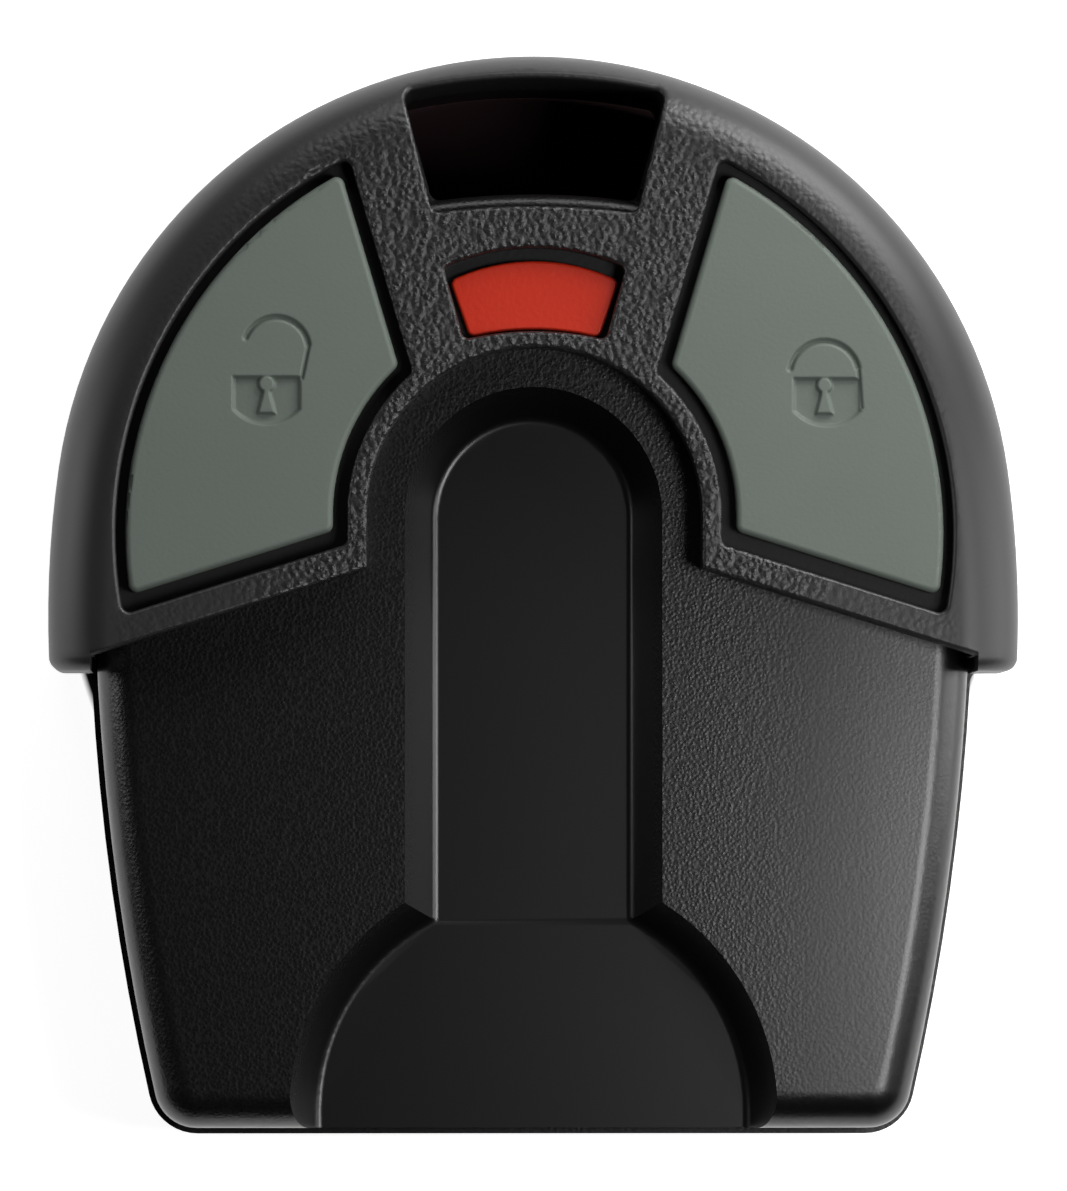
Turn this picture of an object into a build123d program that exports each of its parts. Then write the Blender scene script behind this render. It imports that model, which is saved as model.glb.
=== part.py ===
import math
import os

from build123d import *

# A car alarm remote that the plastic head of a key docks onto. It lies on its back:
# the buttons face +Z, the ring end points to +Y, and the origin is the centre of the
# round head on the back plane. Lengths are in millimetres and angles in degrees.

# Levels of the stack
total_height = 14.0
parting_share = 0.4286
hood_rise = 2.5
rear_floor = 1.4
deck_wall = 1.2
hood_top_wall = 1.2
board_drop = 0.6
board_thickness = 1.0

# Plan of the round head
head_radius = 23.0
skirt_flare = 0.2
skirt_bottom_share = -0.2848
skirt_start_angle = 8.0
skirt_corner_radius = 0.7
hood_edge_radius = 2.9
shoulder_corner_radius = 1.6
shoulder_root_radius = 0.6

# Plan of the narrow body below it
body_step = 1.55
body_centre_share = -0.0174
foot_width_share = 0.7843
foot_share = -1.2522
foot_corner_radius = 2.4

# Walls and fits of the three casings
casing_wall = 1.4
front_inset = 0.35
front_wall = 1.3
front_edge_radius = 1.8
front_crown_share = 16.0
deck_setback = 0.2
rear_edge_radius = 1.5
head_inset = 0.15
case_clearance = 0.1
lip_wall = 0.6
lip_height = 0.8
overrun = 1.0

# Windows of the two large keys, given for the right-hand one
rim_width = 3.0
web_width_share = 0.1543
web_angle = 16.55
arch_centre_share = 0.0391
arch_window_share = 0.3891
sill_rise_share = 0.1
sill_angle = 17.5
window_corner_radius = 0.4
arch_rim = 0.95
sill_bar = 1.37
top_edge_radius = 0.2

# Faces of the large keys inside their windows
key_outer_gap = 0.45
key_web_gap = 0.55
key_arch_gap = 0.68
key_sill_gap = 0.8
key_sunk = 0.2
key_edge_radius = 0.3
key_travel = 0.5

# Window and face of the small alarm key
alarm_top_share = 0.5935
alarm_top_width_share = 0.1891
alarm_top_crown_share = 0.0413
alarm_bottom_share = 0.4196
alarm_bottom_width_share = 0.1478
alarm_bottom_crown_share = 0.0174
alarm_corner_radius = 0.35
alarm_top_gap = 0.6
alarm_side_gap = 0.3
alarm_bottom_gap = 0.12
alarm_sunk = 0.8
alarm_edge_radius = 0.15

# Flange under each key, its pocket in the hood and the rubber seal strip beside it
flange_growth = 0.2
flange_headroom = 0.1
flange_footroom = 0.1
pocket_rim = 0.45
seal_gap = 0.15
seal_growth = 0.75
seal_clearance = 0.05

# Ring slot through the head
slot_rim_width = 1.2
slot_top_width_share = 0.2739
slot_top_crown_share = 0.0304
slot_bottom_share = 0.6804
slot_bottom_width_share = 0.213
slot_bottom_crown_share = 0.0152
slot_corner_radius = 0.5
slot_wall = 1.2
slot_ledge = 0.65
slot_ledge_radius = 0.6

# Channel that takes the rib of the key head
channel_width_share = 0.2696
channel_depth_share = 0.4909
channel_draft = 1.4
bell_radius_share = 0.513
bell_centre_share = -1.2022
channel_floor_radius = 0.5

# Screws and their bosses
screw_radius = 0.85
screw_head_radius = 1.6
screw_head_height = 1.0
screw_head_depth = 1.0
screw_pilot_gap = 0.02
screw_pass_gap = 0.2
screw_tip_room = 0.4
driver_slot_width = 0.5
driver_slot_depth = 0.5
boss_radius = 2.0
boss_pocket_wall = 0.75
low_screw_x_share = 0.6174
low_screw_y_share = -1.0435
low_screw_short = 1.3
high_screw_x_share = 0.2435
high_screw_y_share = 0.6
hood_boss_share = 0.0652
hood_boss_gap = 0.15
hood_boss_lift = 1.4
high_screw_short = 0.2

# Push switches under the keys
key_x_share = 0.5826
key_y_share = 0.2826
alarm_y_share = 0.4913
switch_side_share = 0.1957
switch_headroom = 0.7
switch_cover_height = 0.2
switch_leg_width = 0.6
switch_leg_share = 0.0391
plunger_radius = 1.2
plunger_gap = 0.1
plunger_proud = 0.6
plunger_depth = 0.4
plunger_travel = 0.25
plunger_floor = 0.1
plunger_chamfer = 0.2
post_radius = 1.5
post_gap = 0.3
post_touch_gap = 0.05

# Coin cell and its two contacts
cell_radius_share = 0.4348
leaf_room = 0.55
cell_step = 1.3
cell_cap_height = 0.35
cell_centre_share = -0.587
cell_ring_gap = 0.2
cell_ring_wall = 0.9
cell_ring_height = 2.0
contact_thickness = 0.2
contact_width = 4.0
contact_side_gap = 0.1
contact_seat = 0.05
contact_foot = 2.0
contact_reach = 7.5
leaf_width = 3.0
leaf_foot = 2.0
leaf_half_length = 5.5
leaf_tip = 1.6

# Circuit board and what is soldered to it
board_gap = 0.25
board_post_x_share = 0.7391
board_post_y_share = -0.0435
board_post_radius = 1.0
chip_length = 8.7
chip_width = 3.9
chip_height = 1.5
chip_lift = 0.1
chip_x_share = -0.5391
chip_y_share = -0.3478
chip_lead_pitch = 1.27
chip_lead_count = 6
chip_lead_width = 0.42
chip_lead_reach = 1.0
chip_lead_height = 0.8
can_radius = 3.6
can_height_share = 0.744
can_brim = 0.4
can_brim_height = 0.5
can_edge_radius = 0.3
can_x_share = 0.5304
can_y_share = -0.6522
crystal_length = 7.0
crystal_width = 3.0
crystal_height_share = 0.667
crystal_x_share = -0.513
crystal_y_share = -0.713
loop_x_share = 0.5304
loop_y_share = -0.313
loop_length = 8.0
loop_height_share = 0.667
loop_wire = 0.5
loop_width = 1.2
transistor_length = 2.9
transistor_width = 1.3
transistor_height = 1.0
transistor_x_share = 0.5217
transistor_y_share = -0.8957
passive_length = 1.6
passive_width = 0.8
passive_height = 0.45
passive_pitch = 1.8
capacitor_y_share = -0.087
capacitor_count = 5
resistor_y_share = -0.2609
resistor_count = 6

# Levels that follow from the sizes above
parting_height = total_height * parting_share
face_height = total_height - hood_rise
hood_ceiling = total_height - hood_top_wall
board_bottom = parting_height - board_drop
board_top = board_bottom + board_thickness
deck_bottom = face_height - deck_wall
channel_depth = (face_height - parting_height) * channel_depth_share
channel_floor = face_height - channel_depth
room_height = deck_bottom - board_top
switch_top = deck_bottom - switch_headroom
switch_base_height = switch_top - switch_cover_height - board_top
plunger_top = switch_top + plunger_proud
flange_top = hood_ceiling - flange_headroom
flange_bottom = face_height + flange_footroom + key_travel
post_bottom = plunger_top + key_travel - plunger_travel + post_touch_gap
hood_boss_bottom = parting_height + hood_boss_lift
low_screw_top = deck_bottom - low_screw_short
high_screw_top = hood_ceiling - high_screw_short

# Plan sizes that follow from the radius of the head
skirt_half_width = head_radius + skirt_flare
body_radius = head_radius - body_step
window_radius = head_radius - rim_width
slot_top_y = head_radius - slot_rim_width
skirt_bottom_y = skirt_bottom_share * head_radius
body_centre_y = body_centre_share * head_radius
foot_half_width = foot_width_share * head_radius
foot_y = foot_share * head_radius
front_crown_radius = front_crown_share * head_radius
web_half_width = web_width_share * head_radius
arch_centre_y = arch_centre_share * head_radius
arch_window_radius = arch_window_share * head_radius
sill_rise = sill_rise_share * head_radius
alarm_top_y = alarm_top_share * head_radius
alarm_top_half_width = alarm_top_width_share * head_radius
alarm_top_crown = alarm_top_crown_share * head_radius
alarm_bottom_y = alarm_bottom_share * head_radius
alarm_bottom_half_width = alarm_bottom_width_share * head_radius
alarm_bottom_crown = alarm_bottom_crown_share * head_radius
slot_top_half_width = slot_top_width_share * head_radius
slot_top_crown = slot_top_crown_share * head_radius
slot_bottom_y = slot_bottom_share * head_radius
slot_bottom_half_width = slot_bottom_width_share * head_radius
slot_bottom_crown = slot_bottom_crown_share * head_radius
slot_bottom_radius = (slot_bottom_half_width**2 + slot_bottom_crown**2) / (2 * slot_bottom_crown)
channel_half_width = channel_width_share * head_radius
bell_radius = bell_radius_share * head_radius
bell_centre_y = bell_centre_share * head_radius
low_screw_x = low_screw_x_share * head_radius
low_screw_y = low_screw_y_share * head_radius
high_screw_x = high_screw_x_share * head_radius
high_screw_y = high_screw_y_share * head_radius
key_centre_x = key_x_share * head_radius
key_centre_y = key_y_share * head_radius
alarm_centre_y = alarm_y_share * head_radius
hood_boss_radius = hood_boss_share * head_radius
switch_side = switch_side_share * head_radius
switch_leg_reach = switch_leg_share * head_radius
cell_radius = cell_radius_share * head_radius
cell_centre_y = cell_centre_share * head_radius
board_post_x = board_post_x_share * head_radius
board_post_y = board_post_y_share * head_radius
loop_x = loop_x_share * head_radius
loop_y = loop_y_share * head_radius
cell_cap_radius = cell_radius - cell_step
chip_centre = (chip_x_share * head_radius, chip_y_share * head_radius)
can_centre = (can_x_share * head_radius, can_y_share * head_radius)
crystal_centre = (crystal_x_share * head_radius, crystal_y_share * head_radius)
transistor_centre = (transistor_x_share * head_radius, transistor_y_share * head_radius)
capacitor_row = (0, capacitor_y_share * head_radius)
resistor_row = (0, resistor_y_share * head_radius)
web_slope = math.tan(math.radians(web_angle))
sill_slope = math.tan(math.radians(sill_angle))
low_screws = [(low_screw_x, low_screw_y), (-low_screw_x, low_screw_y)]
high_screws = [(high_screw_x, high_screw_y), (-high_screw_x, high_screw_y)]
board_posts = [(board_post_x, board_post_y), (-board_post_x, board_post_y)]
key_centres = {
    "lock": (key_centre_x, key_centre_y),
    "unlock": (-key_centre_x, key_centre_y),
    "alarm": (0, alarm_centre_y),
}


def arc_about(start, end, centre_y, radius):
    """Arc from start to end on a circle centred on the middle line of the head."""
    first = math.atan2(start[1] - centre_y, start[0])
    last = math.atan2(end[1] - centre_y, end[0])
    middle = (first + last) / 2
    way = (radius * math.cos(middle), centre_y + radius * math.sin(middle))
    return ThreePointArc(start, way, end)


def web_crossing(gap, centre_y, radius):
    """Point where the slanted web edge, moved outward by gap, meets a circle."""
    start = web_half_width + gap / math.cos(math.radians(web_angle))
    square = 1 + web_slope**2
    half = centre_y - start * web_slope
    rest = start**2 + centre_y**2 - radius**2
    y = (half + math.sqrt(half**2 - square * rest)) / square
    return (start + y * web_slope, y)


def sill_height(x, gap):
    """Height of the sloping sill at x, moved upward by gap."""
    return sill_rise + gap / math.cos(math.radians(sill_angle)) - x * sill_slope


def sill_crossing(gap, radius):
    """Point where the sloping sill, moved upward by gap, meets the outer circle."""
    start = sill_height(0, gap)
    square = 1 + sill_slope**2
    half = start * sill_slope
    rest = start**2 - radius**2
    x = (half + math.sqrt(half**2 - square * rest)) / square
    return (x, sill_height(x, gap))


def key_plan(outer_gap, web_gap, arch_gap, sill_gap):
    """Plan of the right-hand key window, drawn in by a gap on each of its sides."""
    outer = window_radius - outer_gap
    arch = arch_window_radius + arch_gap
    tip = web_crossing(web_gap, 0, outer)
    web_foot = web_crossing(web_gap, arch_centre_y, arch)
    arch_foot = (arch, sill_height(arch, sill_gap))
    heel = sill_crossing(sill_gap, outer)
    with BuildSketch(mode=Mode.PRIVATE) as plan:
        with BuildLine():
            Line(tip, web_foot)
            arc_about(web_foot, (arch, arch_centre_y), arch_centre_y, arch)
            Line((arch, arch_centre_y), arch_foot)
            Line(arch_foot, heel)
            arc_about(heel, tip, 0, outer)
        make_face()
        corners = plan.vertices().sort_by_distance((arch, arch_centre_y))[1:]
        fillet(corners, window_corner_radius)
    return plan.sketch


def fan_plan(top_y, top_half, top_crown, low_y, low_half, low_crown, corner):
    """Plan of a fan-shaped opening between two shallow arcs that both bow upward."""
    with BuildSketch(mode=Mode.PRIVATE) as plan:
        with BuildLine():
            ThreePointArc((-top_half, top_y - top_crown), (0, top_y), (top_half, top_y - top_crown))
            Line((top_half, top_y - top_crown), (low_half, low_y - low_crown))
            ThreePointArc((low_half, low_y - low_crown), (0, low_y), (-low_half, low_y - low_crown))
            Line((-low_half, low_y - low_crown), (-top_half, top_y - top_crown))
        make_face()
        fillet(plan.vertices(), corner)
    return plan.sketch


def alarm_plan(top_gap, side_gap, bottom_gap):
    """Plan of the alarm key's window, drawn in by a gap at the top, sides and bottom."""
    return fan_plan(
        alarm_top_y - top_gap,
        alarm_top_half_width - side_gap,
        alarm_top_crown,
        alarm_bottom_y + bottom_gap,
        alarm_bottom_half_width - side_gap,
        alarm_bottom_crown,
        alarm_corner_radius,
    )


def slot_plan(growth, ledge):
    """Plan of the ring slot, grown on every side, with a ledge left on its lower side."""
    return fan_plan(
        slot_top_y + growth,
        slot_top_half_width + growth,
        slot_top_crown,
        slot_bottom_y - growth + ledge,
        slot_bottom_half_width + growth,
        slot_bottom_crown,
        slot_corner_radius,
    )


def body_plan(inset):
    """Plan of the narrow body: a half round over two long arcs that draw in to the foot."""
    with BuildSketch(mode=Mode.PRIVATE) as plan:
        with BuildLine():
            crown = CenterArc((0, body_centre_y), body_radius, 0, 180)
            right = TangentArc(crown @ 0, (foot_half_width, foot_y), tangent=(0, -1))
            left = TangentArc(crown @ 1, (-foot_half_width, foot_y), tangent=(0, -1))
            Line(right @ 1, left @ 1)
        make_face()
        fillet(plan.vertices().group_by(Axis.Y)[0], foot_corner_radius)
        if inset:
            offset(amount=-inset)
    return plan.sketch


def hood_plan():
    """Plan of the hood: the round head, its two skirts, the sloping bars and the arch."""
    arch = arch_window_radius - arch_rim
    skirt_inner = body_radius - front_inset + case_clearance
    with BuildSketch(mode=Mode.PRIVATE) as plan:
        with BuildLine():
            crown = CenterArc((0, 0), head_radius, 90, skirt_start_angle - 90)
            side = TangentArc(crown @ 1, (skirt_half_width, skirt_bottom_y), tangent=crown % 1)
            Line(side @ 1, (skirt_inner, skirt_bottom_y))
            Line((skirt_inner, skirt_bottom_y), (skirt_inner, sill_height(skirt_inner, -sill_bar)))
            Line(
                (skirt_inner, sill_height(skirt_inner, -sill_bar)),
                (arch, sill_height(arch, -sill_bar)),
            )
            Line((arch, sill_height(arch, -sill_bar)), (arch, arch_centre_y))
            CenterArc((0, arch_centre_y), arch, 0, 90)
            mirror(about=Plane.YZ)
        make_face()
    return plan.sketch


def rear_plan():
    """Plan of the rear cover: the head with square shoulders, over the narrow body."""
    with BuildSketch(mode=Mode.PRIVATE) as plan:
        with BuildLine():
            crown = CenterArc((0, 0), head_radius, 90, skirt_start_angle - 90)
            side = TangentArc(crown @ 1, (skirt_half_width, skirt_bottom_y), tangent=crown % 1)
            Line(side @ 1, (0, skirt_bottom_y))
            mirror(about=Plane.YZ)
        make_face()
        fillet(plan.vertices().group_by(Axis.Y)[0].sort_by(Axis.X)[0], shoulder_corner_radius)
        fillet(plan.vertices().group_by(Axis.Y)[0].sort_by(Axis.X)[-1], shoulder_corner_radius)
        offset(amount=-head_inset)
        add(body_plan(0))
    return plan.sketch


def channel_plan(inset):
    """Plan of the key channel, a round arch above a bell, drawn in by inset."""
    half = channel_half_width - inset
    bell = bell_radius - inset
    flare_y = bell_centre_y + math.sqrt(bell**2 - half**2)
    with BuildSketch(mode=Mode.PRIVATE) as plan:
        with BuildLine():
            CenterArc((0, arch_centre_y), half, 90, -90)
            Line((half, arch_centre_y), (half, flare_y))
            arc_about((half, flare_y), (bell, bell_centre_y), bell_centre_y, bell)
            Line((bell, bell_centre_y), (bell, foot_y - overrun))
            Line((bell, foot_y - overrun), (0, foot_y - overrun))
            mirror(about=Plane.YZ)
        make_face()
    return plan.sketch


def finish_piece(piece, name):
    """Label a finished piece and write it under its own name."""
    piece.label = name
    export_step(piece, "parts/" + name + ".step")


os.makedirs("parts", exist_ok=True)

# Shared plans
right_window = key_plan(0, 0, 0, 0)
alarm_window = alarm_plan(0, 0, 0)
slot_opening = slot_plan(0, 0)
liner_opening = slot_plan(0, slot_ledge)
liner_outside = slot_plan(slot_wall, 0)
front_outline = body_plan(front_inset)
front_inside = body_plan(front_inset + front_wall)
hood_outline = hood_plan()
rear_outline = rear_plan()

# Rear cover: a shallow tray with a rounded edge, screw wells, a lip and a coin cell ring
well_radius = screw_head_radius + screw_pass_gap
well_depth = screw_head_depth + screw_head_height
with BuildPart() as rear_cover:
    with BuildSketch():
        add(rear_outline)
    extrude(amount=parting_height)
    shoulder_y = skirt_bottom_y + head_inset
    roots = rear_cover.edges().filter_by(Axis.Z)
    roots = roots.filter_by(lambda edge: abs(edge.center().Y - shoulder_y) < case_clearance)
    roots = roots.filter_by(lambda edge: abs(edge.center().X) < body_radius)
    fillet(roots, shoulder_root_radius)
    fillet(rear_cover.faces().sort_by(Axis.Z)[0].edges(), rear_edge_radius)
    with BuildSketch(Plane.XY.offset(rear_floor)):
        add(rear_outline)
        offset(amount=-casing_wall)
    extrude(amount=parting_height, mode=Mode.SUBTRACT)
    with BuildSketch(Plane.XY.offset(rear_floor)):
        add(body_plan(casing_wall - case_clearance))
        add(body_plan(front_inset + front_wall + case_clearance + lip_wall), mode=Mode.SUBTRACT)
    extrude(amount=parting_height - rear_floor)
    with BuildSketch(Plane.XY.offset(parting_height)):
        add(body_plan(front_inset + front_wall + case_clearance))
        add(body_plan(front_inset + front_wall + case_clearance + lip_wall), mode=Mode.SUBTRACT)
        add(slot_plan(slot_wall + case_clearance, 0), mode=Mode.SUBTRACT)
    extrude(amount=lip_height)
    with BuildSketch(Plane.XY.offset(rear_floor / 2)):
        with Locations(*low_screws, *high_screws):
            Circle(well_radius + boss_pocket_wall)
        with Locations(*board_posts):
            Circle(board_post_radius)
    extrude(amount=board_bottom - rear_floor / 2)
    with BuildSketch(Plane.XY.offset(rear_floor / 2)):
        with Locations(*high_screws):
            Circle(well_radius + boss_pocket_wall)
    extrude(amount=parting_height - rear_floor / 2)
    with BuildSketch(Plane.XY.offset(rear_floor / 2)):
        with Locations((0, cell_centre_y)):
            Circle(cell_radius + cell_ring_gap + cell_ring_wall)
            Circle(cell_radius + cell_ring_gap, mode=Mode.SUBTRACT)
        with Locations((cell_radius, cell_centre_y)):
            Rectangle(contact_width, contact_width + overrun, mode=Mode.SUBTRACT)
    extrude(amount=cell_ring_height + rear_floor / 2)
    with BuildSketch(Plane.XY.offset(rear_floor / 2)):
        add(liner_outside & rear_outline)
    extrude(amount=parting_height - rear_floor / 2)
    with BuildSketch():
        add(liner_opening)
    extrude(amount=total_height, mode=Mode.SUBTRACT)
    with Locations(*low_screws, *high_screws):
        Cylinder(
            well_radius,
            well_depth,
            align=(Align.CENTER, Align.CENTER, Align.MIN),
            mode=Mode.SUBTRACT,
        )
        Cylinder(
            screw_radius + screw_pass_gap,
            total_height,
            align=(Align.CENTER, Align.CENTER, Align.MIN),
            mode=Mode.SUBTRACT,
        )
finish_piece(rear_cover.part, "rear_cover")

# Front cover: the lower casing with the drafted key channel, carried up under the hood.
# Its face is lightly crowned, and its liner ends in a rounded ledge along the ring slot.
liner_top = hood_ceiling - seal_clearance
ledge_y = slot_bottom_y + slot_ledge
with BuildPart() as ledge_rounding:
    with BuildSketch(Plane.YZ):
        with Locations((ledge_y - slot_ledge_radius, liner_top - slot_ledge_radius)):
            Rectangle(slot_ledge_radius * 2, slot_ledge_radius * 2, align=(Align.MIN, Align.MIN))
            Circle(slot_ledge_radius, mode=Mode.SUBTRACT)
    revolve(axis=Axis((0, ledge_y - slot_bottom_radius, 0), (0, 0, 1)))
    with BuildSketch(Plane.XY.offset(face_height)):
        add(slot_opening)
    extrude(amount=total_height, mode=Mode.INTERSECT)
with BuildPart() as front_cover:
    with BuildSketch(Plane.XY.offset(parting_height)):
        add(front_outline)
    extrude(amount=face_height - parting_height)
    with BuildSketch(Plane.XZ.offset(-head_radius)):
        with Locations((0, face_height - front_crown_radius)):
            Circle(front_crown_radius)
    extrude(amount=head_radius - foot_y, mode=Mode.INTERSECT)
    fillet(front_cover.faces().sort_by(Axis.Z)[-1].edges(), front_edge_radius)
    with BuildSketch(Plane.XY.offset(face_height - front_edge_radius)):
        add(hood_outline)
        offset(amount=-deck_setback)
        add(body_plan(front_inset + deck_setback), mode=Mode.INTERSECT)
    extrude(amount=front_edge_radius)
    with BuildSketch(Plane.XY.offset(parting_height)):
        add(front_inside)
    extrude(amount=deck_bottom - parting_height, mode=Mode.SUBTRACT)
    with BuildSketch(Plane.XY.offset(channel_floor - deck_wall)):
        add(channel_plan(channel_draft - deck_wall) & front_inside)
    with BuildSketch(Plane.XY.offset(deck_bottom)):
        add(channel_plan(-deck_wall) & front_inside)
    loft(ruled=True)
    with BuildSketch(Plane.XY.offset(channel_floor)):
        add(channel_plan(channel_draft))
    with BuildSketch(Plane.XY.offset(face_height)):
        add(channel_plan(0))
    loft(ruled=True, mode=Mode.SUBTRACT)
    floor_rim = front_cover.faces().filter_by(Axis.Z).sort_by_distance((0, 0, channel_floor))[0].edges()
    fillet(floor_rim.filter_by(lambda edge: edge.center().Y > foot_y + casing_wall), channel_floor_radius)
    with BuildSketch(Plane.XY.offset(parting_height)):
        add(liner_outside & front_inside)
    extrude(amount=liner_top - parting_height)
    with BuildSketch(Plane.XY.offset(board_top)):
        with Locations(*low_screws):
            Circle(boss_radius)
        with Locations(*board_posts):
            Circle(board_post_radius)
    extrude(amount=deck_bottom - board_top)
    with BuildSketch(Plane.XY.offset(parting_height)):
        with Locations(*high_screws):
            Circle(hood_boss_radius + hood_boss_gap + boss_pocket_wall)
    extrude(amount=deck_bottom - parting_height)
    with BuildSketch(Plane.XY.offset(parting_height)):
        add(liner_opening)
    extrude(amount=total_height, mode=Mode.SUBTRACT)
    add(ledge_rounding.part, mode=Mode.SUBTRACT)
    with BuildSketch(Plane.XY.offset(hood_boss_bottom)):
        with Locations(*high_screws):
            Circle(hood_boss_radius + hood_boss_gap)
    extrude(amount=total_height, mode=Mode.SUBTRACT)
    with BuildSketch(Plane.XY.offset(parting_height)):
        with Locations(*high_screws):
            Circle(screw_radius + screw_pass_gap)
    extrude(amount=total_height, mode=Mode.SUBTRACT)
    with BuildSketch(Plane.XY.offset(board_top)):
        with Locations(*low_screws):
            Circle(screw_radius + screw_pilot_gap)
    extrude(amount=low_screw_top + screw_tip_room - board_top, mode=Mode.SUBTRACT)
    with BuildSketch(Plane.XY.offset(deck_bottom)):
        with Locations(*key_centres.values()):
            Circle(post_radius + post_gap)
    extrude(amount=total_height, mode=Mode.SUBTRACT)
finish_piece(front_cover.part, "front_cover")

# Hood: the thick textured upper casing with three windows, the ring slot and the arch
with BuildPart() as hood:
    with BuildSketch(Plane.XY.offset(parting_height)):
        add(hood_outline)
    extrude(amount=total_height - parting_height)
    rim = hood.faces().sort_by(Axis.Z)[-1].edges().filter_by(GeomType.CIRCLE)
    fillet(rim.filter_by(lambda edge: edge.radius > body_radius), hood_edge_radius)
    ends = hood.faces().filter_by(Axis.Y).sort_by(Axis.Y)[:2].edges()
    ends = ends.filter_by(lambda edge: edge.center().Z > parting_height)
    outer = skirt_half_width - hood_edge_radius / 2
    fillet(ends.filter_by(lambda edge: abs(edge.center().X) > outer), skirt_corner_radius)
    with BuildSketch(Plane.XY.offset(parting_height)):
        add(body_plan(front_inset - case_clearance))
    extrude(amount=face_height + case_clearance - parting_height, mode=Mode.SUBTRACT)
    with BuildSketch(Plane.XY.offset(face_height)):
        add(hood_outline)
        offset(amount=-pocket_rim)
        add(body_plan(front_inset - case_clearance), mode=Mode.INTERSECT)
    extrude(amount=hood_ceiling - face_height, mode=Mode.SUBTRACT)
    with BuildSketch(Plane.XY.offset(hood_boss_bottom)):
        with Locations(*high_screws):
            Circle(hood_boss_radius)
    extrude(amount=hood_ceiling + hood_top_wall / 2 - hood_boss_bottom)
    with BuildSketch(Plane.XY.offset(hood_boss_bottom)):
        with Locations(*high_screws):
            Circle(screw_radius + screw_pilot_gap)
    extrude(amount=high_screw_top + screw_tip_room - hood_boss_bottom, mode=Mode.SUBTRACT)
    with BuildSketch(Plane.XY.offset(hood_ceiling - overrun)):
        add(right_window)
        mirror(about=Plane.YZ)
        add(alarm_window)
    extrude(amount=hood_top_wall + overrun * 2, mode=Mode.SUBTRACT)
    with BuildSketch(Plane.XY.offset(parting_height - overrun)):
        add(slot_opening)
    extrude(amount=total_height, mode=Mode.SUBTRACT)
    edges = hood.edges().filter_by(lambda edge: edge.center().Z > total_height - case_clearance)
    arcs = edges.filter_by(GeomType.CIRCLE).filter_by(lambda edge: edge.radius <= window_radius)
    fillet(edges.filter_by(GeomType.LINE) + arcs, top_edge_radius)
finish_piece(hood.part, "hood")

# Key seals: a rubber strip beside each large key, on its outer and its sloping side
well_growth = flange_growth + seal_gap
key_well = key_plan(-well_growth, -well_growth, -well_growth, -well_growth)
seal_outline = key_plan(-seal_growth, -well_growth, -well_growth, -seal_growth)
with BuildPart() as lock_seal:
    with BuildSketch(Plane.XY.offset(face_height)):
        add(seal_outline)
        add(key_well, mode=Mode.SUBTRACT)
    extrude(amount=liner_top - face_height)
finish_piece(lock_seal.part, "lock_seal")
with BuildPart() as unlock_seal:
    mirror(lock_seal.part, about=Plane.YZ)
finish_piece(unlock_seal.part, "unlock_seal")

# Large keys: a grey rubber cap, a flange that stops it under the hood and a post below
key_face = key_plan(key_outer_gap, key_web_gap, key_arch_gap, key_sill_gap)
key_flange = key_plan(-flange_growth, -flange_growth, -flange_growth, -flange_growth)
with BuildPart() as lock_button:
    with BuildSketch(Plane.XY.offset(flange_top)):
        add(key_face)
    extrude(amount=total_height - key_sunk - flange_top)
    fillet(lock_button.faces().sort_by(Axis.Z)[-1].edges(), key_edge_radius)
    with BuildSketch(Plane.XY.offset(flange_bottom)):
        add(key_flange)
    extrude(amount=flange_top - flange_bottom)
    with BuildSketch(Plane.XY.offset(post_bottom)):
        with Locations(key_centres["lock"]):
            Circle(post_radius)
    extrude(amount=flange_bottom - post_bottom)
finish_piece(lock_button.part, "lock_button")
with BuildPart() as unlock_button:
    mirror(lock_button.part, about=Plane.YZ)
finish_piece(unlock_button.part, "unlock_button")

# Alarm key: the small red one, sunk a little below the hood
with BuildPart() as alarm_button:
    with BuildSketch(Plane.XY.offset(flange_top)):
        add(alarm_plan(alarm_top_gap, alarm_side_gap, alarm_bottom_gap))
    extrude(amount=total_height - alarm_sunk - flange_top)
    fillet(alarm_button.faces().sort_by(Axis.Z)[-1].edges(), alarm_edge_radius)
    with BuildSketch(Plane.XY.offset(flange_bottom)):
        add(alarm_plan(-flange_growth, -flange_growth, 0))
    extrude(amount=flange_top - flange_bottom)
    with BuildSketch(Plane.XY.offset(post_bottom)):
        with Locations(key_centres["alarm"]):
            Circle(post_radius)
    extrude(amount=flange_bottom - post_bottom)
finish_piece(alarm_button.part, "alarm_button")

# Circuit board: it follows the casing, with bites for the ring slot and the high screws
with BuildPart() as circuit_board:
    with BuildSketch(Plane.XY.offset(board_bottom)):
        add(body_plan(front_inset + front_wall + case_clearance + lip_wall + board_gap))
        add(slot_plan(slot_wall + board_gap, 0), mode=Mode.SUBTRACT)
        with Locations(*high_screws):
            Circle(well_radius + boss_pocket_wall + board_gap, mode=Mode.SUBTRACT)
        with Locations(*low_screws):
            Circle(screw_radius + screw_pass_gap, mode=Mode.SUBTRACT)
    extrude(amount=board_thickness)
finish_piece(circuit_board.part, "circuit_board")

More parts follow.
